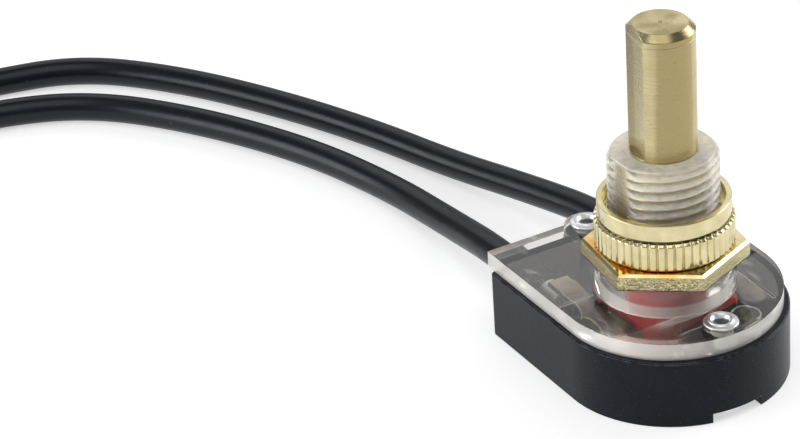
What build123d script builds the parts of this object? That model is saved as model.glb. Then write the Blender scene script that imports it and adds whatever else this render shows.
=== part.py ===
from build123d import *
import math
import os

# Rotary canopy switch, in millimetres.
# The origin is where the shaft's axis meets the underside of the base, +Z is up along the shaft,
# the round front of the D-shaped base faces -Y and the two leads leave the flat back towards +Y.

# Shaft
shaft_radius = 3.175
shaft_flat_distance = 2.5
shaft_flat_angle = 169.0
shaft_top = 35.0
shaft_shoulder = 22.5
shaft_bearing_radius = 3.0
shaft_chamfer = 0.6
centre_mark_radius = 0.2
centre_mark_depth = 0.12
journal_radius = 1.5
journal_bottom = 0.5
journal_top = 5.6
running_clearance = 0.06

# Base cup, a D in plan: a round front struck about a point just ahead of the shaft, and a flat back
base_arc_centre_y = -0.85
base_radius = 10.85
base_back_y = 13.5
base_height = 6.7
base_corner_radius = 0.5
base_edge_radius = 0.12
rim_chamfer = 0.12
wall = 1.2
floor_thickness = 1.3
ear_radius = 2.1
post_radius = 1.9
collar_radius = 2.3
collar_top = 2.2
recess_height = 1.0
front_recess_width = 5.3
front_recess_back_y = -6.9
rear_recess_front_y = 11.3
pad_radius = 8.1
pad_width = 2.7
pad_top = 6.4
pad_start_angle = 242.0
pad_sweep = 56.0

# Clear cover with its boss and threaded bushing
cover_arc_centre_y = -0.6
cover_radius = 10.45
cover_back_y = 14.4
cover_thickness = 1.7
cover_top = base_height + cover_thickness
cover_edge_radius = 0.12
cover_ear_radius = 2.2
boss_radius = 6.5
boss_top = 11.4
bushing_radius = 5.14
bushing_top = 22.4
bushing_chamfer = 0.45
bushing_flat_distance = 4.65
hub_bore_radius = 4.05
hub_bore_top = 11.2
ridge_width = 0.25
ridge_depth = 0.1
side_ridge_y = 3.1
side_ridge_outer_x = -9.5
side_ridge_inner_x = -5.8
front_ridge_x = 7.2
front_ridge_start_y = -6.8
front_ridge_end_y = -0.6

# Tubular rivets
front_rivet_y = -8.9
rear_rivet_y = 13.4
rivet_radius = 1.0
rivet_bore_radius = 0.7
rivet_head_radius = 1.62
rivet_head_height = 0.55
rivet_shoulder_inset = 0.3
rivet_shoulder_drop = 0.1
rivet_rim_drop = 0.2
rivet_clinch_radius = 1.6
rivet_clinch_bottom = 0.1
rivet_clearance = 0.05

# Rotor, its bridge, detent spring and thrust washer
rotor_width = 7.8
rotor_corner_radius = 1.0
rotor_bottom = 2.4
rotor_shoulder = 5.3
rotor_flange_width = 9.6
rotor_flange_corner_radius = 0.9
rotor_flange_bottom = 6.2
rotor_flange_top = 6.5
hub_radius = 3.95
hub_top = 10.9
bridge_half_length = 5.3
bridge_half_width = 1.25
bridge_bottom = 3.0
bridge_thickness = 0.6
bridge_eye_radius = 2.2
bridge_side_gap = 0.05
detent_inner_radius = 2.45
detent_outer_radius = 3.9
detent_ring_thickness = 0.2
detent_ridge_width = 0.6
detent_ridge_inset = 0.1
detent_ridge_top = 2.65
detent_groove_width = 0.9
detent_groove_depth = 0.35
thrust_washer_bottom = 10.95
thrust_washer_bore_radius = 3.1

# Contact strips, handed left and right of the rotor
contact_inner_x = 5.4
contact_thickness = 0.4
contact_flange_width = 2.0
contact_bottom = 2.5
contact_flange_bottom = 5.7
contact_top = 6.1
contact_leg_back_y = 7.2
contact_flange_back_y = 8.2
contact_flange_front_y = -5.6
contact_bend_y = -1.2
contact_tip = (4.4, -4.2)
contact_bend_radius = 1.5
contact_tab_width = 1.6
contact_tab_back_y = 9.9
contact_tab_front_y = 6.6
contact_tab_top = 3.25
contact_tab_thickness = 0.4

# Nuts
nut_bore_radius = 5.2
hex_across_flats = 13.4
hex_bottom = 11.4
hex_top = 13.0
hex_chamfer = 0.25
hex_corner_angle = 23.0
ring_bottom = 13.05
knurl_radius = 6.45
knurl_top = 15.9
knurl_chamfer = 0.25
band_radius = 6.15
ring_top = 17.7
ring_recess_bottom = 16.2
ring_recess_radius = 5.6

# Leads: an insulated wire to each contact, lying on the surface that the base stands on
lead_radius = 1.5
lead_gap = 0.05
conductor_radius = 0.6
crimp_radius = 0.95
crimp_front_y = 7.4
crimp_back_y = 9.8
lead_inner_y = 11.0
lead_exit_x = 6.1
lead_exit_z = 4.2
bare_length = 10.0
largest_bend_share = 0.45
lead_routes = {
    "left": [
        (-lead_exit_x, lead_inner_y, lead_exit_z),
        (-lead_exit_x, 20.0, lead_exit_z),
        (-5.4, 30.5, 2.3),
        (-5.9, 41.5, lead_radius),
        (-9.2, 54.0, lead_radius),
        (-15.6, 67.0, lead_radius),
        (-23.2, 77.0, lead_radius),
        (-33.0, 81.4, lead_radius),
        (-44.0, 82.0, lead_radius),
        (-54.0, 77.5, lead_radius),
        (-61.0, 69.5, lead_radius),
        (-64.5, 59.5, lead_radius),
        (-65.0, 49.5, lead_radius),
        (-63.0, 39.5, lead_radius),
    ],
    "right": [
        (lead_exit_x, lead_inner_y, lead_exit_z),
        (lead_exit_x, 19.5, lead_exit_z),
        (4.3, 30.5, 2.9),
        (1.7, 42.0, lead_radius),
        (-1.6, 53.0, lead_radius),
        (-6.3, 64.5, lead_radius),
        (-12.7, 76.5, lead_radius),
        (-20.6, 85.8, lead_radius),
        (-31.0, 88.4, lead_radius),
        (-42.5, 90.5, lead_radius),
        (-54.0, 87.5, lead_radius),
        (-63.0, 80.5, lead_radius),
        (-69.0, 71.5, lead_radius),
        (-71.3, 64.8, lead_radius),
    ],
}


def d_outline(radius, centre_y, back_y):
    """Adds a D to the sketch: a round front of this radius and straight sides back to back_y."""
    with Locations((0, centre_y)):
        Circle(radius)
    with Locations((0, (centre_y + back_y) / 2)):
        Rectangle(2 * radius, back_y - centre_y)


def shaft_section(radius):
    """Adds a D to the sketch: a circle less what lies beyond the shaft's flat."""
    Circle(radius)
    turn = math.radians(shaft_flat_angle)
    reach = shaft_flat_distance + shaft_radius
    with Locations((reach * math.cos(turn), reach * math.sin(turn))):
        Rectangle(
            2 * shaft_radius, 2 * shaft_radius, rotation=shaft_flat_angle, mode=Mode.SUBTRACT
        )


def tubular_rivet(centre_y):
    """A hollow rivet with a rounded head over the cover and its clinched end in the base's recess."""
    head_top = cover_top + rivet_head_height
    rim_top = head_top - rivet_rim_drop
    with BuildPart() as rivet:
        with BuildSketch(Plane(origin=(0, centre_y, 0), x_dir=(1, 0, 0), z_dir=(0, -1, 0))):
            with BuildLine():
                Polyline(
                    (rivet_bore_radius, rim_top),
                    (rivet_bore_radius, rivet_clinch_bottom),
                    (rivet_clinch_radius, rivet_clinch_bottom),
                    (rivet_clinch_radius, recess_height),
                    (rivet_radius, recess_height),
                    (rivet_radius, cover_top),
                    (rivet_head_radius, cover_top),
                )
                ThreePointArc(
                    (rivet_head_radius, cover_top),
                    (rivet_head_radius - rivet_shoulder_inset, head_top - rivet_shoulder_drop),
                    (rivet_bore_radius, rim_top),
                )
            make_face()
        revolve(axis=Axis((0, centre_y, 0), (0, 0, 1)))
    return rivet.part


def contact_strip(side):
    """A bronze strip beside the rotor, with a bent tip, a round-ended flange and a tab for the crimp."""
    centre_x = side * (contact_inner_x + contact_thickness / 2)
    flange_x = side * (contact_inner_x + contact_flange_width / 2)
    flange_end_y = contact_flange_front_y + contact_flange_width / 2
    tip = (side * contact_tip[0], contact_tip[1])
    with BuildPart() as strip:
        with BuildSketch(Plane.XY.offset(contact_bottom)):
            with BuildLine():
                FilletPolyline(
                    (centre_x, contact_leg_back_y), (centre_x, contact_bend_y), tip,
                    radius=contact_bend_radius,
                )
            trace(line_width=contact_thickness)
        extrude(amount=contact_top - contact_bottom)
        with BuildSketch(Plane.XY.offset(contact_flange_bottom)):
            with Locations((flange_x, (contact_flange_back_y + flange_end_y) / 2)):
                Rectangle(contact_flange_width, contact_flange_back_y - flange_end_y)
            with Locations((flange_x, flange_end_y)):
                Circle(contact_flange_width / 2)
        extrude(amount=contact_top - contact_flange_bottom)
        with BuildSketch(Plane.XY.offset(contact_tab_top - contact_tab_thickness)):
            with Locations((side * lead_exit_x, (contact_tab_front_y + contact_tab_back_y) / 2)):
                Rectangle(contact_tab_width, contact_tab_back_y - contact_tab_front_y)
        extrude(amount=contact_tab_thickness)
    return strip.part


def round_bar(side, radius, start_y, end_y, bore_radius=0.0):
    """A round bar or tube along Y at the height and side of a lead's exit."""
    with BuildPart() as bar:
        with BuildSketch(Plane.XZ.offset(-end_y)):
            with Locations((side * lead_exit_x, lead_exit_z)):
                Circle(radius)
                if bore_radius:
                    Circle(bore_radius, mode=Mode.SUBTRACT)
        extrude(amount=end_y - start_y)
    return bar.part


def bend_radii(points):
    """The largest radius that each corner of a route has room for."""
    corners = [Vector(*point) for point in points]
    radii = []
    for before, here, after in zip(corners, corners[1:], corners[2:]):
        shorter_run = min((here - before).length, (after - here).length)
        turn = math.radians((here - before).get_angle(after - here))
        radii.append(largest_bend_share * shorter_run / math.tan(turn / 2))
    return radii


def lead_tube(points):
    """The insulated part of a lead: straight runs joined by tangent arcs."""
    with BuildPart() as tube:
        with BuildLine() as route:
            FilletPolyline(*points, radius=bend_radii(points))
        with BuildSketch(Plane(origin=points[0], z_dir=route.wire() % 0)):
            Circle(lead_radius)
        sweep(path=route.wire())
    return tube.part, route.wire().length


def bare_end(points):
    """The stripped conductor that stands out of the far end of a lead."""
    tip = Vector(*points[-1])
    direction = (tip - Vector(*points[-2])).normalized()
    with BuildPart() as end:
        with BuildSketch(Plane(origin=tip, z_dir=direction)):
            Circle(conductor_radius)
        extrude(amount=bare_length)
    return end.part


with BuildPart() as base_housing:
    with BuildSketch():
        d_outline(base_radius, base_arc_centre_y, base_back_y)
    extrude(amount=base_height)
    back_corners = base_housing.edges().filter_by(Axis.Z).group_by(Axis.Y)[-1]
    fillet(back_corners, base_corner_radius)
    with BuildSketch():
        with Locations((0, rear_rivet_y)):
            Circle(ear_radius)
    extrude(amount=base_height)
    fillet(base_housing.faces().sort_by(Axis.Z)[0].outer_wire().edges(), base_edge_radius)
    chamfer(base_housing.faces().sort_by(Axis.Z)[-1].outer_wire().edges(), rim_chamfer)
    with BuildSketch(Plane.XY.offset(floor_thickness)):
        d_outline(base_radius - wall, base_arc_centre_y, base_back_y - wall)
        with Locations((0, front_rivet_y), (0, rear_rivet_y)):
            Circle(post_radius, mode=Mode.SUBTRACT)
        with Locations((0, front_rivet_y - post_radius)):
            Rectangle(2 * post_radius, 2 * post_radius, mode=Mode.SUBTRACT)
    extrude(amount=base_height, mode=Mode.SUBTRACT)
    with BuildSketch(Plane.XY.offset(floor_thickness)):
        with BuildLine():
            pad_line = CenterArc((0, 0), pad_radius, pad_start_angle, pad_sweep)
        trace(line_width=pad_width)
        with Locations(pad_line @ 0, pad_line @ 1):
            Circle(pad_width / 2)
    extrude(amount=pad_top - floor_thickness)
    with BuildSketch(Plane.XY.offset(floor_thickness)):
        Circle(collar_radius)
    extrude(amount=collar_top - floor_thickness)
    with BuildSketch(Plane.XY.offset(journal_bottom)):
        Circle(journal_radius + running_clearance)
    extrude(amount=collar_top, mode=Mode.SUBTRACT)
    with BuildSketch(Plane.XZ.offset(-base_back_y)):
        with Locations((-lead_exit_x, lead_exit_z), (lead_exit_x, lead_exit_z)):
            Circle(lead_radius + lead_gap)
    extrude(amount=2 * wall, mode=Mode.SUBTRACT)
    with BuildSketch():
        with Locations((0, front_rivet_y), (0, rear_rivet_y)):
            Circle(rivet_radius + rivet_clearance)
    extrude(amount=base_height, mode=Mode.SUBTRACT)
    with BuildSketch():
        with Locations((0, front_recess_back_y - base_radius / 2)):
            Rectangle(front_recess_width, base_radius)
        with Locations((0, rear_recess_front_y + ear_radius)):
            Rectangle(2 * post_radius, 2 * ear_radius)
    extrude(amount=recess_height, mode=Mode.SUBTRACT)

with BuildPart() as clear_cover:
    with BuildSketch(Plane.XY.offset(base_height)):
        d_outline(cover_radius, cover_arc_centre_y, cover_back_y)
        with Locations((0, rear_rivet_y)):
            Circle(cover_ear_radius)
    extrude(amount=cover_thickness)
    fillet(clear_cover.faces().sort_by(Axis.Z)[-1].outer_wire().edges(), cover_edge_radius)
    with BuildSketch(Plane.XY.offset(cover_top)):
        Circle(boss_radius)
    extrude(amount=boss_top - cover_top)
    with BuildSketch(Plane.XY.offset(boss_top)):
        Circle(bushing_radius)
    extrude(amount=bushing_top - boss_top)
    chamfer(clear_cover.faces().sort_by(Axis.Z)[-1].outer_wire().edges(), bushing_chamfer)
    with BuildSketch(Plane.XY.offset(boss_top)):
        with Locations((-bushing_flat_distance - bushing_radius / 2, 0)):
            Rectangle(bushing_radius, 2 * bushing_radius)
    extrude(amount=bushing_top - boss_top, mode=Mode.SUBTRACT)
    with BuildSketch(Plane.XY.offset(base_height)):
        Circle(shaft_bearing_radius + running_clearance)
        with Locations((0, front_rivet_y), (0, rear_rivet_y)):
            Circle(rivet_radius + rivet_clearance)
    extrude(amount=bushing_top, mode=Mode.SUBTRACT)
    with BuildSketch(Plane.XY.offset(base_height)):
        Circle(hub_bore_radius)
    extrude(amount=hub_bore_top - base_height, mode=Mode.SUBTRACT)
    with BuildSketch(Plane.XY.offset(base_height)):
        with Locations(((side_ridge_outer_x + side_ridge_inner_x) / 2, side_ridge_y)):
            Rectangle(side_ridge_inner_x - side_ridge_outer_x, ridge_width)
        with Locations((front_ridge_x, (front_ridge_start_y + front_ridge_end_y) / 2)):
            Rectangle(ridge_width, front_ridge_end_y - front_ridge_start_y)
    extrude(amount=-ridge_depth)

with BuildPart() as shaft:
    with BuildSketch(Plane.XY.offset(journal_bottom)):
        Circle(journal_radius)
    extrude(amount=journal_top - journal_bottom)
    with BuildSketch(Plane.XY.offset(journal_top)):
        shaft_section(shaft_bearing_radius)
    extrude(amount=hub_top - journal_top)
    with BuildSketch(Plane.XY.offset(hub_top)):
        Circle(shaft_bearing_radius)
    extrude(amount=shaft_shoulder - hub_top)
    with BuildSketch(Plane.XY.offset(shaft_shoulder)):
        shaft_section(shaft_radius)
    extrude(amount=shaft_top - shaft_shoulder)
    top_edges = shaft.faces().sort_by(Axis.Z)[-1].edges().filter_by(GeomType.CIRCLE)
    chamfer(top_edges, shaft_chamfer)
    with BuildSketch(Plane.XY.offset(shaft_top)):
        Circle(centre_mark_radius)
    extrude(amount=-centre_mark_depth, taper=45, mode=Mode.SUBTRACT)

with BuildPart() as rotor_cam:
    with BuildSketch(Plane.XY.offset(rotor_bottom)):
        RectangleRounded(rotor_width, rotor_width, rotor_corner_radius)
    extrude(amount=rotor_shoulder - rotor_bottom)
    with BuildSketch(Plane.XY.offset(rotor_shoulder)):
        Circle(hub_radius)
    extrude(amount=hub_top - rotor_shoulder)
    with BuildSketch(Plane.XY.offset(rotor_flange_bottom)):
        RectangleRounded(rotor_flange_width, rotor_flange_width, rotor_flange_corner_radius)
    extrude(amount=rotor_flange_top - rotor_flange_bottom)
    with BuildSketch(Plane.XY.offset(journal_top)):
        shaft_section(shaft_bearing_radius)
    extrude(amount=hub_top, mode=Mode.SUBTRACT)
    with BuildSketch(Plane.XY.offset(rotor_bottom)):
        Circle(journal_radius)
    extrude(amount=journal_top - rotor_bottom, mode=Mode.SUBTRACT)
    with BuildSketch(Plane.XY.offset(rotor_bottom)):
        Rectangle(2 * rotor_width, 2 * (bridge_half_width + bridge_side_gap))
        Circle(bridge_eye_radius + bridge_side_gap)
    extrude(amount=bridge_bottom + bridge_thickness - rotor_bottom, mode=Mode.SUBTRACT)
    with BuildSketch(Plane.XY.offset(rotor_bottom)):
        Rectangle(2 * rotor_width, detent_groove_width, rotation=45)
        Rectangle(2 * rotor_width, detent_groove_width, rotation=-45)
    extrude(amount=detent_groove_depth, mode=Mode.SUBTRACT)

with BuildPart() as contact_bridge:
    with BuildSketch(Plane.XY.offset(bridge_bottom)):
        SlotOverall(2 * bridge_half_length, 2 * bridge_half_width)
        Circle(bridge_eye_radius)
        Circle(journal_radius, mode=Mode.SUBTRACT)
    extrude(amount=bridge_thickness)

with BuildPart() as detent_spring:
    with BuildSketch(Plane.XY.offset(floor_thickness)):
        Circle(detent_outer_radius)
        Circle(detent_inner_radius, mode=Mode.SUBTRACT)
    extrude(amount=detent_ring_thickness)
    with BuildSketch(Plane.XY.offset(floor_thickness)):
        ridge_radius = (detent_inner_radius + detent_outer_radius) / 2
        ridge_length = detent_outer_radius - detent_inner_radius - 2 * detent_ridge_inset
        with PolarLocations(ridge_radius, 4, start_angle=45):
            Rectangle(ridge_length, detent_ridge_width)
    extrude(amount=detent_ridge_top - floor_thickness)

with BuildPart() as thrust_washer:
    with BuildSketch(Plane.XY.offset(thrust_washer_bottom)):
        Circle(hub_radius)
        Circle(thrust_washer_bore_radius, mode=Mode.SUBTRACT)
    extrude(amount=hub_bore_top - thrust_washer_bottom)

with BuildPart() as hex_nut:
    with BuildSketch(Plane.XY.offset(hex_bottom)):
        RegularPolygon(
            hex_across_flats / 2, side_count=6, major_radius=False, rotation=hex_corner_angle
        )
    extrude(amount=hex_top - hex_bottom)
    chamfer(hex_nut.faces().sort_by(Axis.Z)[-1].outer_wire().edges(), hex_chamfer)
    with BuildSketch(Plane.XY.offset(hex_bottom)):
        Circle(nut_bore_radius)
    extrude(amount=hex_top - hex_bottom, mode=Mode.SUBTRACT)

with BuildPart() as ring_nut:
    with BuildSketch(Plane.XY.offset(ring_bottom)):
        Circle(knurl_radius)
    extrude(amount=knurl_top - ring_bottom)
    chamfer(ring_nut.edges().filter_by(GeomType.CIRCLE), knurl_chamfer)
    with BuildSketch(Plane.XY.offset(knurl_top)):
        Circle(band_radius)
    extrude(amount=ring_top - knurl_top)
    with BuildSketch(Plane.XY.offset(ring_bottom)):
        Circle(nut_bore_radius)
    extrude(amount=ring_top - ring_bottom, mode=Mode.SUBTRACT)
    with BuildSketch(Plane.XY.offset(ring_recess_bottom)):
        Circle(ring_recess_radius)
    extrude(amount=ring_top - ring_recess_bottom, mode=Mode.SUBTRACT)

pieces = {
    "base_housing": base_housing.part,
    "clear_cover": clear_cover.part,
    "front_rivet": tubular_rivet(front_rivet_y),
    "rear_rivet": tubular_rivet(rear_rivet_y),
    "shaft": shaft.part,
    "rotor_cam": rotor_cam.part,
    "contact_bridge": contact_bridge.part,
    "detent_spring": detent_spring.part,
    "thrust_washer": thrust_washer.part,
    "hex_nut": hex_nut.part,
    "ring_nut": ring_nut.part,
}
for name, side in (("left", -1), ("right", 1)):
    pieces["contact_" + name] = contact_strip(side)
    pieces["crimp_" + name] = round_bar(side, crimp_radius, crimp_front_y, crimp_back_y, conductor_radius)
    pieces["conductor_" + name] = round_bar(side, conductor_radius, crimp_front_y, lead_inner_y)
    route = lead_routes[name]
    tube, route_length = lead_tube(route)
    pieces["lead_" + name] = tube
    pieces["bare_end_" + name] = bare_end(route)
    print(name, "lead: length", round(route_length, 1))
    print("  volume / (section * length)", round(tube.volume / (math.pi * lead_radius**2 * route_length), 4))
    print("  bend radii", [round(radius, 1) for radius in bend_radii(route)])

os.makedirs("parts", exist_ok=True)
for name, piece in pieces.items():
    piece.label = name
    export_step(piece, "parts/" + name + ".step")
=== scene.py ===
import math

import bpy
from mathutils import Matrix, Quaternion, Vector


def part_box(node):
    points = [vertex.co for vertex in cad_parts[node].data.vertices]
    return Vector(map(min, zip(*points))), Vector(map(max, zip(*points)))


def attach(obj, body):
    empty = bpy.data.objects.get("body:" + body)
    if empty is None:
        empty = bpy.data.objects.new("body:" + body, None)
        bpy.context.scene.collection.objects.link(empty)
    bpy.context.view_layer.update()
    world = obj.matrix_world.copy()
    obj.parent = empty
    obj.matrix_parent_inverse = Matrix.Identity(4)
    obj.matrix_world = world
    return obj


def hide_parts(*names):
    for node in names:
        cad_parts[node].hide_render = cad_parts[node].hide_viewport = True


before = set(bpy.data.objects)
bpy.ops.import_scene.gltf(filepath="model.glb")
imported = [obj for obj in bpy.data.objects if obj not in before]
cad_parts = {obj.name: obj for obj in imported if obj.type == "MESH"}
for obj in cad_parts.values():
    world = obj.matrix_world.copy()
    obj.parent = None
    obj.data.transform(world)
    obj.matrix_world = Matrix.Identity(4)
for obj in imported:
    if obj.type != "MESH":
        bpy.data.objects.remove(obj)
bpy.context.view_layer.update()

MM = 0.001

# Places and sizes read from the CAD pieces, in metres
BASE_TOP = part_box("base_housing")[1].z
BASE_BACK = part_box("base_housing")[1].y
HUB_BORE_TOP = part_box("thrust_washer")[1].z
BOSS_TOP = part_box("hex_nut")[0].z
SEAM_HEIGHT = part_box("ring_nut")[0].z
BUSHING_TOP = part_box("clear_cover")[1].z
SHAFT_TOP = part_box("shaft")[1].z
COVER_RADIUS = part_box("clear_cover")[1].x
ARC_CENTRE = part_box("clear_cover")[0].y + COVER_RADIUS
RIVET_CENTRES = {
    name: (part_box(name)[0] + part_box(name)[1]) / 2 for name in ("front_rivet", "rear_rivet")
}

# The cover's plate
COVER_TOP = BASE_TOP + 1.7 * MM
COVER_BACK = 14.4 * MM
COVER_EDGE = 0.06 * MM
EAR_RADIUS = 2.2 * MM
RIVET_HOLE_RADIUS = 1.05 * MM

# Fine ridges on the cover's underside, in millimetres: (x from, y from, x to, y to)
COVER_RIDGES = [(-9.5, 2.975, -5.8, 3.225), (7.075, -6.8, 7.325, -0.6)]
RIDGE_DEPTH = 0.1 * MM
RIDGE_EDGE = 0.02 * MM

# The boss on the plate, and the bores inside it
BOSS_RADIUS = 6.5 * MM
BOSS_FILLET = 0.25 * MM
BOSS_FILLET_MIDDLE = 0.07 * MM
BOSS_EDGE = 0.15 * MM
HUB_BORE_RADIUS = 4.05 * MM
SHAFT_BORE_RADIUS = 2.98 * MM

# The bushing's thread: 27 turns to the inch. A CREST_WIDTH under 1 makes the crests wider than
# the roots.
THREAD_PITCH = 25.4 * MM / 27
THREAD_CREST = 5.14 * MM
THREAD_ROOT = 4.70 * MM
THREAD_FLAT = 4.65 * MM
THREAD_CHAMFER = 0.45 * MM
CREST_WIDTH = 0.7
ROWS_PER_TURN = 14

# The pad moulded in front of the rotor, and the round-ended flanges of the contact strips
PAD_RADIUS = 8.1 * MM
PAD_HALF_WIDTH = 1.35 * MM
PAD_TOP = 6.4 * MM
PAD_ANGLES = (242.0, 298.0)
FLANGE_HALF_WIDTH = 1.0 * MM
FLANGE_LINE_GAP = 4 * MM
EDGE_LINE_RADIUS = 0.06 * MM

# The ring nut: a knurled skirt, a groove above it and a thin rim
NUT_BORE_RADIUS = 5.2 * MM
KNURL_FLUTES = 50
KNURL_DEPTH = 0.24 * MM
KNURL_SKIN = 0.25 * MM
KNURL_SHARPNESS = 6
KNURL_LENGTH = 2.85 * MM
KNURL_FOOT_CHAMFER = 0.3 * MM
KNURL_TOP_CHAMFER = 0.22 * MM
GROOVE_RADIUS = 5.92 * MM
GROOVE_FLOOR = 0.14 * MM
GROOVE_WIDTH = 0.24 * MM
RIM_RADIUS = 6.15 * MM
RIM_INNER_RADIUS = 5.6 * MM
RIM_DEPTH = 1.5 * MM
NUT_ROUNDING = 0.07 * MM

# The tubular rivets: a rolled head above the cover and a clinched end under the base
RIVET_BORE_RADIUS = 0.7 * MM
RIVET_SHANK_RADIUS = 1.0 * MM
RIVET_ROUNDING = 0.1 * MM
CLINCH_INSET = 0.02 * MM
CLINCH_HEIGHT = 0.45 * MM
CLINCH_TAPER_HEIGHT = 0.7 * MM
HEAD_RIM_HEIGHT = 0.3 * MM
HEAD_SHOULDER_HEIGHT = 0.38 * MM
HEAD_SHOULDER_WIDTH = 0.5 * MM
HEAD_CROWN_WIDTHS = (0.42 * MM, 0.25 * MM)
HEAD_MOUTH_DEPTH = 0.35 * MM

# Tones of the finishes. Where there are two, a finish varies from the first to the second.
SHAFT_TONES = (0.60, 0.515, 0.30), (0.38, 0.305, 0.145)
NUT_TONES = (0.75, 0.67, 0.41), (0.53, 0.46, 0.24)
# The painted orange reflection of brass on brass at the seam of the nuts
PAINTED_GLOW = (0.72, 0.42, 0.11)
# Painted shade, for a dark band on each nut
PAINTED_SHADE = (0.10, 0.08, 0.05)
CLEAR_TONES = (0.82, 0.80, 0.76), (1.0, 0.97, 0.87)
PHENOLIC_TONES = (0.004, 0.004, 0.008), (0.20, 0.20, 0.21)
PVC_TONES = (0.003, 0.004, 0.007), (0.08, 0.09, 0.10)
RED_TONES = (0.58, 0.010, 0.016), (0.40, 0.006, 0.010)
# The first bronze tone is also the painted shade on the front of the contact strips
BRONZE_TONES = (0.09, 0.06, 0.04), (0.50, 0.42, 0.32)
# The pale line round the pad, a painted highlight
EDGE_HIGHLIGHT_TONES = (0.80, 0.78, 0.74), (0.30, 0.30, 0.29)
FIBRE_TONES = (0.42, 0.34, 0.25), (0.22, 0.17, 0.12)
COPPER_TONES = (0.80, 0.44, 0.26), (0.62, 0.32, 0.18)
TIN_TONES = (0.96, 0.97, 0.98), (0.84, 0.85, 0.87)
STEEL_TONES = (0.60, 0.60, 0.60), (0.40, 0.40, 0.41)
PAPER_TONES = (0.66, 0.66, 0.66), (0.64, 0.64, 0.64)

# Grain of rolled sheet, drawn out along Y
ROLLING_GRAIN = (9000, 500, 9000)

# Camera, floor and light
CAMERA_PLACE = (-0.14087, -0.21584, 0.16192)
CAMERA_AIM = (-0.01907, 0.01520, 0.01433)
CAMERA_ROLL = -3.94
CAMERA_LENS = 146.46
FLOOR_SIZE = 4
FLOOR_GLOW = 0.55
WORLD_TONE = (0.96, 0.98, 1, 1)
WORLD_STRENGTH = 0.22
SOFTBOX_AIM = (0, 0, 0.01)
SOFTBOXES = {
    "softbox_left": ((-0.42, 0.16, 0.13), (0.36, 0.26), 1.3),
    "softbox_right": ((0.40, -0.05, 0.14), (0.24, 0.28), 0.95),
    "softbox_back": ((0.20, 0.42, 0.34), (0.70, 0.30), 0.62),
    "softbox_top": ((-0.12, -0.16, 0.55), (0.50, 0.50), 1.15),
}

# The stripped ends: strands in each ring, and the ring's radius in strand radii
STRAND_RINGS = ((1, 0.0), (6, 2.05), (12, 4.05))
STRAND_RADIUS = 0.105 * MM
STRAND_STEPS = 12
STRAND_TURNS = 1.1
STRAND_FLARE = 0.12
BARE_LENGTH = 10 * MM

# The leads: the insulation's length in metres, and the control points in millimetres, the same
# as those of the CAD tubes
LEAD_RADIUS = 1.5 * MM
LEAD_ROUTES = {
    "left": [
        (-6.1, 11.0, 4.2),
        (-6.1, 20.0, 4.2),
        (-5.4, 30.5, 2.3),
        (-5.9, 41.5, 1.5),
        (-9.2, 54.0, 1.5),
        (-15.6, 67.0, 1.5),
        (-23.2, 77.0, 1.5),
        (-33.0, 81.4, 1.5),
        (-44.0, 82.0, 1.5),
        (-54.0, 77.5, 1.5),
        (-61.0, 69.5, 1.5),
        (-64.5, 59.5, 1.5),
        (-65.0, 49.5, 1.5),
        (-63.0, 39.5, 1.5),
    ],
    "right": [
        (6.1, 11.0, 4.2),
        (6.1, 19.5, 4.2),
        (4.3, 30.5, 2.9),
        (1.7, 42.0, 1.5),
        (-1.6, 53.0, 1.5),
        (-6.3, 64.5, 1.5),
        (-12.7, 76.5, 1.5),
        (-20.6, 85.8, 1.5),
        (-31.0, 88.4, 1.5),
        (-42.5, 90.5, 1.5),
        (-54.0, 87.5, 1.5),
        (-63.0, 80.5, 1.5),
        (-69.0, 71.5, 1.5),
        (-71.3, 64.8, 1.5),
    ],
}


# ---- Meshes ----

def add_object(name, data):
    made = bpy.data.objects.new(name, data)
    bpy.context.scene.collection.objects.link(made)
    return made


def smooth(piece, angle):
    """Shades a mesh smooth, except at edges sharper than this angle in degrees."""
    piece.data.shade_smooth()
    piece.data.set_sharp_from_angle(angle=math.radians(angle))


def lathe(name, profile, segments, centre=(0, 0), shape=None):
    """Turns a closed (radius, height) profile about a vertical axis.

    shape(radius, height, angle) may change each radius.
    """
    points = []
    for step in range(segments):
        angle = 2 * math.pi * step / segments
        for radius, height in profile:
            r = shape(radius, height, angle) if shape else radius
            x, y = centre[0] + r * math.cos(angle), centre[1] + r * math.sin(angle)
            points.append((x, y, height))
    count = len(profile)
    faces = []
    for step in range(segments):
        here, there = step * count, (step + 1) % segments * count
        for i in range(count):
            j = (i + 1) % count
            faces.append((here + i, there + i, there + j, here + j))
    mesh = bpy.data.meshes.new(name)
    mesh.from_pydata(points, [], faces)
    mesh.validate()
    mesh.update()
    return add_object(name, mesh)


def rounded(corners, radius):
    """Replaces each corner of a closed (radius, height) profile with a small curve."""
    steps = 4
    out = []
    for i, here in enumerate(corners):
        before, after = corners[i - 1], corners[(i + 1) % len(corners)]
        here, before, after = Vector(here), Vector(before), Vector(after)
        cut = min(radius, (before - here).length / 2.2, (after - here).length / 2.2)
        start = here + (before - here).normalized() * cut
        end = here + (after - here).normalized() * cut
        for k in range(steps + 1):
            t = k / steps
            out.append(tuple(start * (1 - t) ** 2 + here * 2 * t * (1 - t) + end * t * t))
    return out


def outline_slab(name, outlines, bottom, top, edge):
    """A slab with rounded edges from closed plan outlines; those inside the first are holes."""
    curve = bpy.data.curves.new(name, "CURVE")
    curve.dimensions = "2D"
    curve.fill_mode = "BOTH"
    curve.bevel_depth = edge
    curve.bevel_resolution = 2
    curve.extrude = (top - bottom) / 2 - edge
    curve.offset = -edge
    for outline in outlines:
        spline = curve.splines.new("POLY")
        spline.points.add(len(outline) - 1)
        for point, place in zip(spline.points, outline):
            point.co = (place[0], place[1], 0, 1)
        spline.use_cyclic_u = True
    holder = add_object(name, curve)
    mesh = bpy.data.meshes.new_from_object(holder)
    mesh.transform(Matrix.Translation((0, 0, (top + bottom) / 2)))
    bpy.data.objects.remove(holder)
    return add_object(name, mesh)


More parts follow.
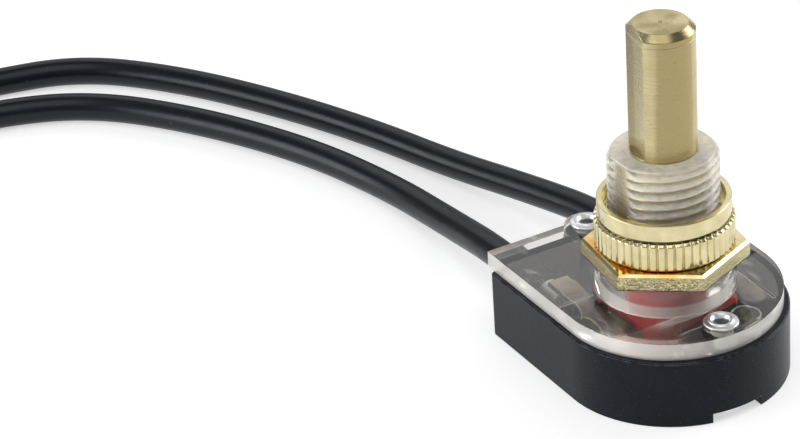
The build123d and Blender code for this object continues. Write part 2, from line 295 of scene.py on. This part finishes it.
def circle(centre_x, centre_y, radius, start=0.0, end=360.0, steps=64):
    """Points round an arc, in the plan."""
    angles = [math.radians(start + (end - start) * k / steps) for k in range(steps + 1)]
    points = [(centre_x + radius * math.cos(a), centre_y + radius * math.sin(a)) for a in angles]
    return points[:-1] if end - start == 360.0 else points


def join(target, addition):
    """Makes one solid of target and addition, and removes addition."""
    modifier = target.modifiers.new("join", "BOOLEAN")
    modifier.operation = "UNION"
    modifier.solver = "EXACT"
    modifier.object = addition
    depsgraph = bpy.context.evaluated_depsgraph_get()
    mesh = bpy.data.meshes.new_from_object(target.evaluated_get(depsgraph))
    target.modifiers.clear()
    target.data = mesh
    bpy.data.objects.remove(addition)


# ---- Materials ----

class Finish:
    """A Principled material, and the few node helpers that the finishes below share.

    The sockets given by name, such as Emission_Color, are set on the shader itself.
    """

    def __init__(self, name, **sockets):
        self.material = bpy.data.materials.new(name)
        self.material.use_nodes = True
        self.nodes = self.material.node_tree.nodes
        self.links = self.material.node_tree.links
        self.shader = self.nodes["Principled BSDF"]
        for socket, value in sockets.items():
            self.shader.inputs[socket.replace("_", " ")].default_value = value
        self.place = self.nodes.new("ShaderNodeTexCoord").outputs["Object"]

    def link(self, output, socket):
        self.links.new(output, socket)

    def stretched(self, x, y, z):
        """The place on the object, scaled by these factors."""
        mapping = self.nodes.new("ShaderNodeMapping")
        mapping.inputs["Scale"].default_value = (x, y, z)
        self.link(self.place, mapping.inputs["Vector"])
        return mapping.outputs["Vector"]

    def noise(self, scale, detail, where=None):
        node = self.nodes.new("ShaderNodeTexNoise")
        node.inputs["Scale"].default_value = scale
        node.inputs["Detail"].default_value = detail
        self.link(where or self.place, node.inputs["Vector"])
        return node.outputs["Fac"]

    def ramp(self, value, low, high, from_low=0.0, from_high=1.0):
        """low to high as value goes from from_low to from_high, and no further at either end."""
        node = self.nodes.new("ShaderNodeMapRange")
        node.inputs["From Min"].default_value = from_low
        node.inputs["From Max"].default_value = from_high
        node.inputs["To Min"].default_value = low
        node.inputs["To Max"].default_value = high
        self.link(value, node.inputs["Value"])
        return node.outputs["Result"]

    def calc(self, operation, a, b):
        node = self.nodes.new("ShaderNodeMath")
        node.operation = operation
        for value, socket in zip((a, b), node.inputs):
            if isinstance(value, (int, float)):
                socket.default_value = value
            else:
                self.link(value, socket)
        return node.outputs["Value"]

    def mix(self, factor, first, second):
        node = self.nodes.new("ShaderNodeMix")
        node.data_type = "RGBA"
        if isinstance(first, tuple):
            node.inputs["A"].default_value = (*first, 1)
        else:
            self.link(first, node.inputs["A"])
        node.inputs["B"].default_value = (*second, 1)
        self.link(factor, node.inputs["Factor"])
        return node.outputs["Result"]

    def colour(self, factor, first, second):
        self.link(self.mix(factor, first, second), self.shader.inputs["Base Color"])

    def roughness(self, value):
        self.link(value, self.shader.inputs["Roughness"])

    def along(self, axis):
        """How far a place is along one axis of the model."""
        split = self.nodes.new("ShaderNodeSeparateXYZ")
        self.link(self.place, split.inputs["Vector"])
        return split.outputs[axis]

    def axis_distance(self):
        """How far a place is from the shaft's axis, in plan."""
        flat = self.nodes.new("ShaderNodeVectorMath")
        flat.operation = "MULTIPLY"
        flat.inputs[1].default_value = (1, 1, 0)
        self.link(self.place, flat.inputs[0])
        length = self.nodes.new("ShaderNodeVectorMath")
        length.operation = "LENGTH"
        self.link(flat.outputs["Vector"], length.inputs[0])
        return length.outputs["Value"]

    def uprightness(self, low, high):
        """0 on level faces and 1 on upright ones, between these sizes of the normal's Z."""
        split = self.nodes.new("ShaderNodeSeparateXYZ")
        self.link(self.nodes.new("ShaderNodeTexCoord").outputs["Normal"], split.inputs["Vector"])
        return self.ramp(self.calc("ABSOLUTE", split.outputs["Z"], 0.0), 1, 0, low, high)

    def band(self, value, centre, half_width):
        """1 where value is at centre, down to 0 at half_width from it."""
        distance = self.calc("ABSOLUTE", self.calc("SUBTRACT", value, centre), 0.0)
        return self.ramp(distance, 1, 0, 0, half_width)

    def edges_wear_and_highlight(self, radius):
        """Rounds the shading of edges by this radius, and gives 1 along them and 0 elsewhere."""
        bevel = self.nodes.new("ShaderNodeBevel")
        bevel.inputs["Radius"].default_value = radius
        dot = self.nodes.new("ShaderNodeVectorMath")
        dot.operation = "DOT_PRODUCT"
        self.link(bevel.outputs["Normal"], dot.inputs[0])
        self.link(self.nodes.new("ShaderNodeNewGeometry").outputs["Normal"], dot.inputs[1])
        self.link(bevel.outputs["Normal"], self.shader.inputs["Normal"])
        return self.ramp(dot.outputs["Value"], 1, 0, 0.90, 0.99)

    def pass_lamps(self, share):
        """Lets this share of the lamps' light through, so that what glass shuts in is lit."""
        ray = self.nodes.new("ShaderNodeLightPath").outputs["Is Shadow Ray"]
        clear = self.nodes.new("ShaderNodeBsdfTransparent")
        blend = self.nodes.new("ShaderNodeMixShader")
        self.link(self.calc("MULTIPLY", ray, share), blend.inputs[0])
        self.link(self.shader.outputs["BSDF"], blend.inputs[1])
        self.link(clear.outputs["BSDF"], blend.inputs[2])
        self.link(blend.outputs["Shader"], self.nodes["Material Output"].inputs["Surface"])

    def bump(self, height, distance):
        """Raises the shading by height times distance, on top of any bump or bevel so far."""
        node = self.nodes.new("ShaderNodeBump")
        node.inputs["Distance"].default_value = distance
        self.link(height, node.inputs["Height"])
        if self.shader.inputs["Normal"].links:
            self.link(self.shader.inputs["Normal"].links[0].from_socket, node.inputs["Normal"])
        self.link(node.outputs["Normal"], self.shader.inputs["Normal"])


def turned_brass():
    """Bar brass as it leaves the lathe: fine rings, pits, a scribed ring and a burr at the top."""
    finish = Finish("turned_brass", Metallic=1.0, Anisotropic=0.5, Anisotropic_Rotation=0.25)
    tangent = finish.nodes.new("ShaderNodeTangent")
    tangent.direction_type = "RADIAL"
    tangent.axis = "Z"
    finish.link(tangent.outputs["Tangent"], finish.shader.inputs["Tangent"])
    # Edges painted lighter: partly wear, partly a painted highlight.
    edges = finish.edges_wear_and_highlight(0.12 * MM)
    rings = finish.noise(1.0, 4.0, finish.stretched(260, 260, 21000))
    # Vertical streaks in the tone: painted shade standing in for the darker reflected band down the
    # shaft.
    streaks = finish.noise(1.0, 3.0, finish.stretched(-300, -300, 18))
    streaks = finish.ramp(streaks, 0, 1.1, 0.42, 0.60)
    pits = finish.ramp(finish.noise(5200, 1.0), 0, 1, 0.70, 0.76)
    grain = finish.noise(7000, 3.0)
    height = finish.along("Z")
    scribed = finish.band(height, SHAFT_TOP - 1.2 * MM, 0.06 * MM)
    burr = finish.band(height, SHAFT_TOP - 0.62 * MM, 0.09 * MM)
    burr = finish.calc("MULTIPLY", burr, finish.noise(900, 2.0))
    tone_and_painted_light = finish.ramp(finish.noise(420, 3.0), 0.0, 0.5)
    tone_and_painted_light = finish.calc("ADD", tone_and_painted_light, finish.ramp(rings, 0.0, 0.35, 0.3, 0.7))
    tone_and_painted_light = finish.calc("ADD", tone_and_painted_light, finish.calc("SUBTRACT", streaks, 0.35))
    tone_and_painted_light = finish.calc("MAXIMUM", tone_and_painted_light, pits)
    tone_and_painted_light = finish.calc("SUBTRACT", tone_and_painted_light, finish.calc("MAXIMUM", edges, scribed))
    finish.colour(finish.calc("MAXIMUM", tone_and_painted_light, finish.calc("MULTIPLY", burr, 5.0)), *SHAFT_TONES)
    finish.roughness(finish.ramp(rings, 0.20, 0.34))
    finish.bump(rings, 0.005 * MM)
    finish.bump(grain, 0.008 * MM)
    finish.bump(pits, -0.012 * MM)
    finish.bump(scribed, 0.02 * MM)
    return finish.material


def bright_brass(name, speckle, shade_height):
    """Barrelled brass with a painted orange reflection at the seam of the nuts and painted shade at
    one height.

    speckle is how deep the sheared sides are pitted.
    """
    finish = Finish(name, Metallic=1.0)
    # Edges painted lighter: partly wear, partly a painted highlight.
    edges = finish.edges_wear_and_highlight(0.08 * MM)
    patches = finish.noise(700, 3.0)
    tone = finish.ramp(patches, 0, 0.7, 0.3, 0.75)
    if speckle:
        grain = finish.noise(5600, 1.0)
        upright = finish.uprightness(0.1, 0.4)
        sheared = finish.calc("MULTIPLY", finish.ramp(grain, 0, 1.6, 0.42, 0.60), upright)
        tone = finish.calc("MAXIMUM", tone, sheared)
        finish.bump(finish.calc("MULTIPLY", grain, upright), speckle)
    base = finish.mix(finish.calc("SUBTRACT", tone, edges), *NUT_TONES)
    # Painted orange reflection at the seam, strongest on the left side.
    seam_glow = finish.calc("MULTIPLY", finish.band(finish.along("Z"), SEAM_HEIGHT, 0.5 * MM),
                         finish.ramp(finish.noise(400, 2.0), 0.2, 1.4, 0.40, 0.62))
    glow_on_left = finish.ramp(finish.along("X"), 1, 0.15, -3 * MM, 2 * MM)
    with_glow = finish.mix(finish.calc("MULTIPLY", seam_glow, glow_on_left), base, PAINTED_GLOW)
    # A band of painted shade at one given height: the hex nut's foot, or the ring nut's groove.
    shade_band = finish.calc("MULTIPLY", finish.band(finish.along("Z"), shade_height, 0.13 * MM),
                        finish.ramp(finish.noise(1200, 2.0), 0.7, 1.8, 0.3, 0.6))
    finish.colour(shade_band, with_glow, PAINTED_SHADE)
    finish.roughness(finish.ramp(patches, 0.16, 0.30))
    finish.bump(finish.noise(2500, 2.0), 0.004 * MM)
    return finish.material


def clear_plastic():
    """Clear moulded plastic with light scuffs, frosted on its sides, back rim and thread crests."""
    finish = Finish("clear_moulding", IOR=1.45)
    finish.pass_lamps(0.95)
    height = finish.along("Z")
    side = finish.uprightness(0.3, 0.8)
    plate = finish.ramp(height, 1.0, 0.12, COVER_TOP, COVER_TOP + 0.3 * MM)
    side = finish.calc("MULTIPLY", side, plate)
    thread = finish.ramp(height, 0, 1, BOSS_TOP, BOSS_TOP + 1 * MM)
    crest = finish.ramp(finish.axis_distance(), 0.15, 1.2, THREAD_ROOT, THREAD_CREST)
    upper = finish.ramp(height, 0.45, 1, BUSHING_TOP - 5 * MM, BUSHING_TOP - 1.5 * MM)
    end_face = finish.ramp(height, 0, 0.9, BUSHING_TOP - 0.5 * MM, BUSHING_TOP)
    worn = finish.calc("MULTIPLY", upper, finish.calc("MULTIPLY", thread, crest))
    worn = finish.calc("MAXIMUM", worn, end_face)
    streaks = finish.noise(1400, 4.0, finish.stretched(1, 1, 2.5))
    worn = finish.calc("MULTIPLY", worn, finish.ramp(streaks, 0.8, 1.25, 0.35, 0.65))
    back_rim = finish.ramp(finish.along("Y"), 0, 0.85, BASE_BACK - 0.3 * MM, BASE_BACK)
    frosted = finish.calc("MAXIMUM", finish.calc("MAXIMUM", side, worn), back_rim)
    scuffs = finish.ramp(finish.noise(700, 5.0, finish.stretched(1, 0.35, 1)), 0, 1, 0.60, 0.68)
    scuffs = finish.calc("MULTIPLY", scuffs, finish.ramp(finish.noise(130, 1.0), 0, 1, 0.5, 0.6))
    haze = finish.ramp(frosted, 0.02, 0.56)
    haze = finish.calc("ADD", haze, finish.calc("MULTIPLY", scuffs, 0.25))
    clouds = finish.ramp(finish.noise(900, 3.0), -0.15, 0.15)
    finish.colour(finish.calc("ADD", thread, clouds), *CLEAR_TONES)
    clearness = finish.calc("SUBTRACT", 1.0, haze)
    finish.link(clearness, finish.shader.inputs["Transmission Weight"])
    unevenness = finish.ramp(finish.noise(1100, 4.0), 0.0, 0.05)
    finish.roughness(finish.calc("ADD", finish.ramp(frosted, 0.02, 0.22), unevenness))
    finish.bump(finish.noise(350, 2.0), 0.015 * MM)
    finish.bump(finish.calc("MULTIPLY", finish.noise(3800, 3.0), thread), 0.03 * MM)
    return finish.material


def black_moulding():
    """Black thermoset with a fine bloom, dust in its skin and edges rubbed lighter, partly a
    painted highlight.
    """
    finish = Finish("black_moulding", Specular_IOR_Level=0.14, Specular_Tint=(0.80, 0.90, 1.0, 1))
    edges = finish.edges_wear_and_highlight(0.10 * MM)
    dust = finish.ramp(finish.noise(6500, 2.0), 0, 0.25, 0.64, 0.78)
    bloom = finish.noise(260, 4.0)
    # Edges painted lighter: partly rubbed wear, partly a painted highlight along the rim.
    rubbed_and_highlit = finish.ramp(finish.noise(1300, 3.0), 0, 1, 0.40, 0.60)
    rubbed_and_highlit = finish.calc("MULTIPLY", edges, rubbed_and_highlit)
    marks = finish.calc("MAXIMUM", rubbed_and_highlit, finish.ramp(bloom, 0.0, 0.05))
    finish.colour(finish.calc("MAXIMUM", dust, marks), *PHENOLIC_TONES)
    finish.roughness(finish.ramp(bloom, 0.26, 0.42))
    finish.bump(finish.noise(6000, 2.0), 0.032 * MM)
    return finish.material


def wire_pvc():
    """Extruded black insulation: semi-gloss, with a few chalky scuffs."""
    finish = Finish("wire_pvc", Specular_IOR_Level=0.34, Specular_Tint=(0.86, 0.94, 1.0, 1))
    finish.colour(finish.ramp(finish.noise(1500, 5.0), 0, 1, 0.68, 0.82), *PVC_TONES)
    finish.roughness(finish.ramp(finish.noise(600, 4.0), 0.24, 0.40))
    finish.bump(finish.noise(3000, 3.0), 0.012 * MM)
    return finish.material


def red_moulding():
    """The rotor's red plastic."""
    finish = Finish("red_moulding", Subsurface_Weight=0.1,
                    Subsurface_Radius=(0.001, 0.0003, 0.0003))
    finish.colour(finish.noise(500, 3.0), *RED_TONES)
    finish.roughness(finish.ramp(finish.noise(1200, 2.0), 0.25, 0.45))
    finish.bump(finish.noise(2500, 2.0), 0.01 * MM)
    return finish.material


def rolled_metal(name, tones, low_roughness, high_roughness):
    """Sheet or wire metal with faint rolling lines and uneven tarnish."""
    finish = Finish(name, Metallic=1.0)
    lines = finish.noise(1.0, 3.0, finish.stretched(*ROLLING_GRAIN))
    finish.colour(finish.noise(900, 4.0), *tones)
    finish.roughness(finish.ramp(lines, low_roughness, high_roughness))
    finish.bump(lines, 0.003 * MM)
    return finish.material


def strip_bronze():
    """Spring bronze, darkened towards the front as painted shade and lighter at the crimped end,
    with uneven brown tarnish.
    """
    finish = Finish("strip_bronze", Metallic=1.0)
    # Painted shade: darker towards the front of the strips, lighter towards the rear.
    lit_toward_rear = finish.ramp(finish.along("Y"), 0, 0.75, 5.2 * MM, 7.8 * MM)
    patches = finish.ramp(finish.noise(900, 4.0), -0.1, 0.3, 0.3, 0.7)
    finish.colour(finish.calc("ADD", lit_toward_rear, patches), *BRONZE_TONES)
    lines = finish.noise(1.0, 3.0, finish.stretched(*ROLLING_GRAIN))
    finish.roughness(finish.ramp(lines, 0.25, 0.45))
    return finish.material


def painted_edge_highlight():
    """A pale line painted along a black moulded edge, as a painted highlight."""
    finish = Finish("painted_edge_highlight")
    finish.colour(finish.noise(1500, 4.0), *EDGE_HIGHLIGHT_TONES)
    finish.roughness(finish.ramp(finish.noise(3000, 2.0), 0.4, 0.6))
    return finish.material


def fibre():
    """Vulcanised fibre board."""
    finish = Finish("fibre")
    finish.colour(finish.noise(2500, 5.0), *FIBRE_TONES)
    finish.roughness(finish.ramp(finish.noise(3000, 2.0), 0.6, 0.85))
    return finish.material


def paint(piece, material):
    piece.data.materials.clear()
    piece.data.materials.append(material)


# ---- Pieces ----

def thread_radius(radius, height, angle):
    """The bushing's outer radius: a right-hand thread, a flat on -X and a chamfered end."""
    if radius < THREAD_CREST - 0.5 * THREAD_CHAMFER or height <= BOSS_TOP:
        return radius
    phase = (height / THREAD_PITCH - angle / (2 * math.pi)) % 1.0
    ridge = 0.5 - 0.5 * math.cos(2 * math.pi * phase)
    r = THREAD_ROOT + (THREAD_CREST - THREAD_ROOT) * ridge ** CREST_WIDTH
    r = min(r, THREAD_CREST - THREAD_CHAMFER + (BUSHING_TOP - height))
    facing = math.cos(angle - math.pi)
    return min(r, THREAD_FLAT / facing) if facing > 0.5 else r


def plate_outlines():
    """The cover plate's D-shaped outline with its ear, then its three holes."""
    plate = circle(0, ARC_CENTRE, COVER_RADIUS, 180, 360)
    plate.append((COVER_RADIUS, COVER_BACK))
    ear_y = RIVET_CENTRES["rear_rivet"].y
    reach = math.degrees(math.asin((COVER_BACK - ear_y) / EAR_RADIUS))
    plate += circle(0, ear_y, EAR_RADIUS, reach, 180 - reach, 24)
    plate.append((-COVER_RADIUS, COVER_BACK))
    holes = [circle(0, centre.y, RIVET_HOLE_RADIUS) for centre in RIVET_CENTRES.values()]
    return [plate, *holes, circle(0, 0, HUB_BORE_RADIUS, steps=96)]


def bushing_profile():
    """The boss and bushing, up the outside and down the bores; its foot is inside the plate."""
    rows = int((BUSHING_TOP - BOSS_TOP) / THREAD_PITCH * ROWS_PER_TURN)
    step = (BUSHING_TOP - BOSS_TOP) / rows
    return [
        (HUB_BORE_RADIUS, BASE_TOP + 0.2 * MM),
        (BOSS_RADIUS + BOSS_FILLET, COVER_TOP - 0.3 * MM),
        (BOSS_RADIUS + BOSS_FILLET, COVER_TOP),
        (BOSS_RADIUS + BOSS_FILLET_MIDDLE, COVER_TOP + BOSS_FILLET_MIDDLE),
        (BOSS_RADIUS, COVER_TOP + BOSS_FILLET),
        (BOSS_RADIUS, BOSS_TOP - BOSS_EDGE),
        (BOSS_RADIUS - BOSS_EDGE, BOSS_TOP),
        *((THREAD_CREST, BOSS_TOP + step * k) for k in range(rows + 1)),
        (SHAFT_BORE_RADIUS + BOSS_EDGE, BUSHING_TOP),
        (SHAFT_BORE_RADIUS, BUSHING_TOP - BOSS_EDGE),
        (SHAFT_BORE_RADIUS, HUB_BORE_TOP),
        (HUB_BORE_RADIUS, HUB_BORE_TOP),
    ]


def make_cover(material):
    """The D-shaped plate with its ear and holes, and the boss and threaded bushing turned on it."""
    cover = outline_slab("cover", plate_outlines(), BASE_TOP, COVER_TOP, COVER_EDGE)
    join(cover, lathe("bushing", bushing_profile(), 144, shape=thread_radius))
    for x_from, y_from, x_to, y_to in COVER_RIDGES:
        outline = [(x_from, y_from), (x_to, y_from), (x_to, y_to), (x_from, y_to)]
        outline = [(x * MM, y * MM) for x, y in outline]
        bottom, top = BASE_TOP - RIDGE_DEPTH, BASE_TOP + RIDGE_DEPTH
        join(cover, outline_slab("ridge", [outline], bottom, top, RIDGE_EDGE))
    smooth(cover, 30)
    paint(cover, material)
    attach(cover, "housing")
    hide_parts("clear_cover")


def knurl_radius(limit):
    """A shape for lathe: straight V-shaped flutes in whatever stands further out than limit."""
    def shape(radius, height, angle):
        if radius < limit:
            return radius
        wave = 0.5 + 0.5 * math.cos(KNURL_FLUTES * angle)
        return radius - KNURL_DEPTH * wave ** KNURL_SHARPNESS
    return shape


def make_ring_nut(material):
    """The nut with its knurled skirt, groove and thin rim."""
    low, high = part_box("ring_nut")
    outer, bottom, top = high.x, low.z, high.z
    knurl_top = bottom + KNURL_LENGTH
    corners = [
        (NUT_BORE_RADIUS, bottom),
        (outer - KNURL_FOOT_CHAMFER, bottom), (outer, bottom + KNURL_FOOT_CHAMFER),
        (outer, knurl_top - KNURL_TOP_CHAMFER), (outer - KNURL_TOP_CHAMFER, knurl_top),
        (GROOVE_RADIUS, knurl_top), (GROOVE_RADIUS, knurl_top + GROOVE_FLOOR),
        (RIM_RADIUS, knurl_top + GROOVE_WIDTH), (RIM_RADIUS, top),
        (RIM_INNER_RADIUS, top), (RIM_INNER_RADIUS, top - RIM_DEPTH),
        (NUT_BORE_RADIUS, top - RIM_DEPTH),
    ]
    nut = lathe("knurled_ring_nut", rounded(corners, NUT_ROUNDING), KNURL_FLUTES * 12,
                shape=knurl_radius(outer - KNURL_SKIN))
    smooth(nut, 40)
    paint(nut, material)
    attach(nut, "ring_nut")
    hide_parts("ring_nut")


def make_rivets(material):
    """The two tubular rivets, each with a rolled head and a clinched end."""
    for name, centre in RIVET_CENTRES.items():
        low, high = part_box(name)
        bore, shank, head = RIVET_BORE_RADIUS, RIVET_SHANK_RADIUS, high.x - centre.x
        clinch = head - CLINCH_INSET
        crown_outer, crown_inner = HEAD_CROWN_WIDTHS
        corners = [
            (bore, low.z), (clinch, low.z), (clinch, low.z + CLINCH_HEIGHT),
            (shank, low.z + CLINCH_TAPER_HEIGHT), (shank, COVER_TOP),
            (head, COVER_TOP), (head, COVER_TOP + HEAD_RIM_HEIGHT),
            (bore + HEAD_SHOULDER_WIDTH, COVER_TOP + HEAD_SHOULDER_HEIGHT),
            (bore + crown_outer, high.z), (bore + crown_inner, high.z),
            (bore, high.z - HEAD_MOUTH_DEPTH),
        ]
        rivet = lathe("eyelet_" + name, rounded(corners, RIVET_ROUNDING), 64, (centre.x, centre.y))
        smooth(rivet, 50)
        paint(rivet, material)
        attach(rivet, "housing")
        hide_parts(name)


def edge_line(name, outline, height, closed, material):
    """The thin bright line along a moulded or sheared edge."""
    curve = bpy.data.curves.new(name, "CURVE")
    curve.dimensions = "3D"
    curve.bevel_depth = EDGE_LINE_RADIUS
    spline = curve.splines.new("POLY")
    spline.points.add(len(outline) - 1)
    for point, (x, y) in zip(spline.points, outline):
        point.co = (x, y, height, 1)
    spline.use_cyclic_u = closed
    line = add_object(name, curve)
    paint(line, material)
    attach(line, "housing")


def make_edge_lines(pad_highlight, bronze):
    """The light lines round the pad, a painted highlight, and along the outer edges of the contact
    flanges.
    """
    start, end = PAD_ANGLES
    centres = []
    for angle in PAD_ANGLES:
        turn = math.radians(angle)
        centres.append((PAD_RADIUS * math.cos(turn), PAD_RADIUS * math.sin(turn)))
    outline = circle(0, 0, PAD_RADIUS + PAD_HALF_WIDTH, start, end, 32)
    outline += circle(*centres[1], PAD_HALF_WIDTH, end, end + 180, 16)
    outline += circle(0, 0, PAD_RADIUS - PAD_HALF_WIDTH, end, start, 32)
    outline += circle(*centres[0], PAD_HALF_WIDTH, start + 180, start + 360, 16)
    edge_line("pad_edge", outline, PAD_TOP, True, pad_highlight)
    for side in ("left", "right"):
        low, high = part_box("contact_" + side)
        outer = low.x if side == "left" else high.x
        outline = [(outer, high.y - FLANGE_LINE_GAP), (outer, low.y + FLANGE_HALF_WIDTH)]
        edge_line("flange_edge_" + side, outline, high.z, False, bronze)


def tube_curve(name, radius, routes, ring_steps, run_steps):
    """One curve object of round section along each route, whose points are in metres."""
    curve = bpy.data.curves.new(name, "CURVE")
    curve.dimensions = "3D"
    curve.bevel_depth = radius
    curve.bevel_resolution = ring_steps
    curve.resolution_u = run_steps
    curve.use_fill_caps = True
    for route in routes:
        spline = curve.splines.new("NURBS")
        spline.points.add(len(route) - 1)
        for point, place in zip(spline.points, route):
            point.co = (*place, 1)
        spline.order_u = 3
        spline.use_endpoint_u = True
    return add_object(name, curve)


def make_strands(name, start, direction, material):
    """A stripped end: twisted strands that follow one line and flare a little at its end."""
    across = direction.cross(Vector((0, 0, 1))).normalized()
    up = across.cross(direction)
    routes = []
    for count, reach in STRAND_RINGS:
        for strand in range(count):
            route = []
            for k in range(STRAND_STEPS + 1):
                angle = 2 * math.pi * (strand / count + STRAND_TURNS * k / STRAND_STEPS)
                flare = 1 + STRAND_FLARE * (k / STRAND_STEPS) ** 2
                side = across * math.cos(angle) + up * math.sin(angle)
                forward = direction * (BARE_LENGTH * k / STRAND_STEPS)
                route.append(start + forward + side * (reach * STRAND_RADIUS * flare))
            routes.append(route)
    strands = tube_curve(name, STRAND_RADIUS, routes, 2, 4)
    paint(strands, material)
    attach(strands, "housing")
    return strands


def make_leads(pvc, copper):
    """The two leads with their bare ends, as cords."""
    for side, route in LEAD_ROUTES.items():
        route = [Vector(place) * MM for place in route]
        wire = tube_curve("wire_" + side, LEAD_RADIUS, [route], 6, 16)
        paint(wire, pvc)
        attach(wire, "housing")
        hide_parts("lead_" + side)
        direction = (route[-1] - route[-2]).normalized()
        bare = make_strands("strands_" + side, route[-1], direction, copper)
        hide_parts("bare_end_" + side)


# ---- Camera, floor and light ----

def aimed(here, there):
    """The rotation of a camera or lamp at here that points it at there."""
    return (Vector(there) - Vector(here)).to_track_quat("-Z", "Y")


def make_camera():
    camera = add_object("camera", bpy.data.cameras.new("camera"))
    camera.data.lens = CAMERA_LENS
    camera.data.clip_start = 0.01
    camera.data.clip_end = 10
    camera.location = CAMERA_PLACE
    roll = Quaternion((0, 0, 1), math.radians(CAMERA_ROLL))
    camera.rotation_mode = "QUATERNION"
    camera.rotation_quaternion = aimed(CAMERA_PLACE, CAMERA_AIM) @ roll
    bpy.context.scene.camera = camera


def make_softboxes():
    for name, (place, size, power) in SOFTBOXES.items():
        light = add_object(name, bpy.data.lights.new(name, "AREA"))
        light.data.shape = "RECTANGLE"
        light.data.size, light.data.size_y = size
        light.data.energy = power
        light.visible_camera = False
        light.location = place
        light.rotation_mode = "QUATERNION"
        light.rotation_quaternion = aimed(place, SOFTBOX_AIM)


def make_studio():
    """A pale paper floor under an even, dim sky, and four softboxes."""
    bpy.ops.mesh.primitive_plane_add(size=FLOOR_SIZE)
    floor = bpy.context.object
    floor.name = "floor"
    finish = Finish("paper", Emission_Strength=FLOOR_GLOW, Emission_Color=(1, 1, 1, 1))
    finish.colour(finish.noise(40, 3.0), *PAPER_TONES)
    finish.roughness(finish.ramp(finish.noise(60, 2.0), 0.7, 0.8))
    paint(floor, finish.material)
    world = bpy.data.worlds.new("studio")
    world.use_nodes = True
    sky = world.node_tree.nodes["Background"]
    sky.inputs["Color"].default_value = WORLD_TONE
    sky.inputs["Strength"].default_value = WORLD_STRENGTH
    bpy.context.scene.world = world
    make_softboxes()


# ---- The scene ----

make_camera()
# Each brass nut also gets the height of its band of painted shade
nut_brass = bright_brass("nut_brass", 0.12 * MM, BOSS_TOP)
knurl_brass = bright_brass("knurl_brass", 0, SEAM_HEIGHT + KNURL_LENGTH + 0.1 * MM)
bronze = strip_bronze()
copper = rolled_metal("copper", COPPER_TONES, 0.18, 0.34)
tin = rolled_metal("tin", TIN_TONES, 0.30, 0.45)
cad_finishes = {
    "shaft": turned_brass(), "hex_nut": nut_brass, "base_housing": black_moulding(),
    "rotor_cam": red_moulding(), "contact_bridge": bronze, "contact_left": bronze,
    "contact_right": bronze, "crimp_left": tin, "crimp_right": tin, "conductor_left": copper,
    "conductor_right": copper, "detent_spring": rolled_metal("steel", STEEL_TONES, 0.2, 0.4),
    "thrust_washer": fibre(),
}
for node, cad_finish in cad_finishes.items():
    paint(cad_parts[node], cad_finish)
make_cover(clear_plastic())
make_ring_nut(knurl_brass)
make_rivets(tin)
make_edge_lines(painted_edge_highlight(), nut_brass)
make_leads(wire_pvc(), copper)
make_studio()
bpy.context.scene.view_settings.view_transform = "Standard"
